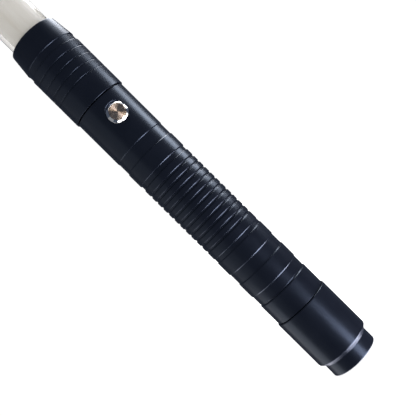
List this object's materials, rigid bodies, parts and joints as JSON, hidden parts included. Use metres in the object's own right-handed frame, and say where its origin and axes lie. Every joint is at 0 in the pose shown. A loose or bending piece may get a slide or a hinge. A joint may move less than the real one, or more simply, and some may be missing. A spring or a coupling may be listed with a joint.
{
  "type": "illuminated cane",
  "caption": "Illuminated cane: a translucent white tube socketed in a ribbed black metal handle with a bright push button and a screw-on end cap.",
  "frame": {"origin": "centre of the end cap's flat end face, on which the cane stands", "axes": "+Z along the cane's axis from the end cap to the tube's tip; the button faces -Y and the retaining screw faces +Y"},
  "size_m": [0.0328, 0.0329, 1.013],
  "materials": {
    "black_anodised": "satin black anodised with a blue tint",
    "seal_rubber": "matt",
    "contact_brass": "bright",
    "spring_steel": "drawn wire",
    "cell_steel": "nickel plated",
    "cell_wrap": "heat-shrunk film",
    "black_nylon": "moulded",
    "board_green": "solder mask",
    "chip_black": "moulded resin",
    "connector_white": "moulded",
    "switch_chrome": "polished",
    "switch_spun_steel": "spun",
    "wire_red": "silicone sheath",
    "wire_black": "silicone sheath",
    "bare_aluminium": "turned",
    "board_white": "white solder mask",
    "led_yellow": "silicone dome over phosphor",
    "clear_lens": "polished",
    "screw_steel": "black oxide",
    "frosted_tube": "translucent, satin",
    "diffuser_white": "matt film",
    "frosted_tip": "translucent, satin",
    "reflector_silver": "metallised film"
  },
  "bodies": {
    "end_cap": {"end_cap": "black_anodised", "cap_o_ring": "seal_rubber", "tail_contact": "contact_brass", "tail_spring": "spring_steel"},
    "battery": {"battery_cell": "cell_steel", "battery_wrap": "cell_wrap"},
    "handle": {"barrel": "black_anodised", "battery_liner": "black_nylon", "contact_carrier": "black_nylon", "front_contact": "contact_brass", "board_carrier": "black_nylon", "driver_board": "board_green", "control_chip": "chip_black", "power_inductor": "chip_black", "wire_connector": "connector_white", "switch_body": "switch_chrome", "switch_nut": "switch_chrome", "switch_spring": "spring_steel", "switch_terminals": "contact_brass", "switch_wires": "wire_red", "led_wires": "wire_black", "battery_wire": "wire_red", "heat_sink": "bare_aluminium", "led_board": "board_white", "led_emitter": "led_yellow", "lens_holder": "black_nylon", "lens": "clear_lens", "head_collar": "black_anodised", "head_o_ring": "seal_rubber"},
    "button": {"switch_cap": "switch_spun_steel"},
    "light_tube": {"light_tube": "frosted_tube", "diffuser_film": "diffuser_white", "tube_tip": "frosted_tip", "tip_reflector": "reflector_silver"},
    "retaining_screw": {"retaining_screw": "screw_steel"}
  },
  "joints": [
    {"name": "handle_lift", "type": "slide", "parent": "end_cap", "child": "battery", "axis": [0, 0, 1], "range_m": [0, 0.0115], "deforming": ["tail_spring"]},
    {"name": "handle_unscrew", "type": "hinge", "parent": "battery", "child": "handle", "pos_m": [0, 0, 0.05], "axis": [0, 0, 1], "range_deg": [0, 2070]},
    {"name": "button_press", "type": "slide", "parent": "handle", "child": "button", "axis": [0, 1, 0], "range_m": [0, 0.0012], "stiffness_N_per_m": 1500, "springref_m": -0.001},
    {"name": "tube_slide", "type": "slide", "parent": "handle", "child": "light_tube", "axis": [0, 0, 1], "range_m": [0, 0.04]},
    {"name": "screw_back_out", "type": "slide", "parent": "handle", "child": "retaining_screw", "axis": [0, 1, 0], "range_m": [0, 0.003]}
  ],
  "couplings": [
    {"joint": "handle_unscrew", "follows": "handle_lift", "rad_per_m": 3141.6}
  ]
}
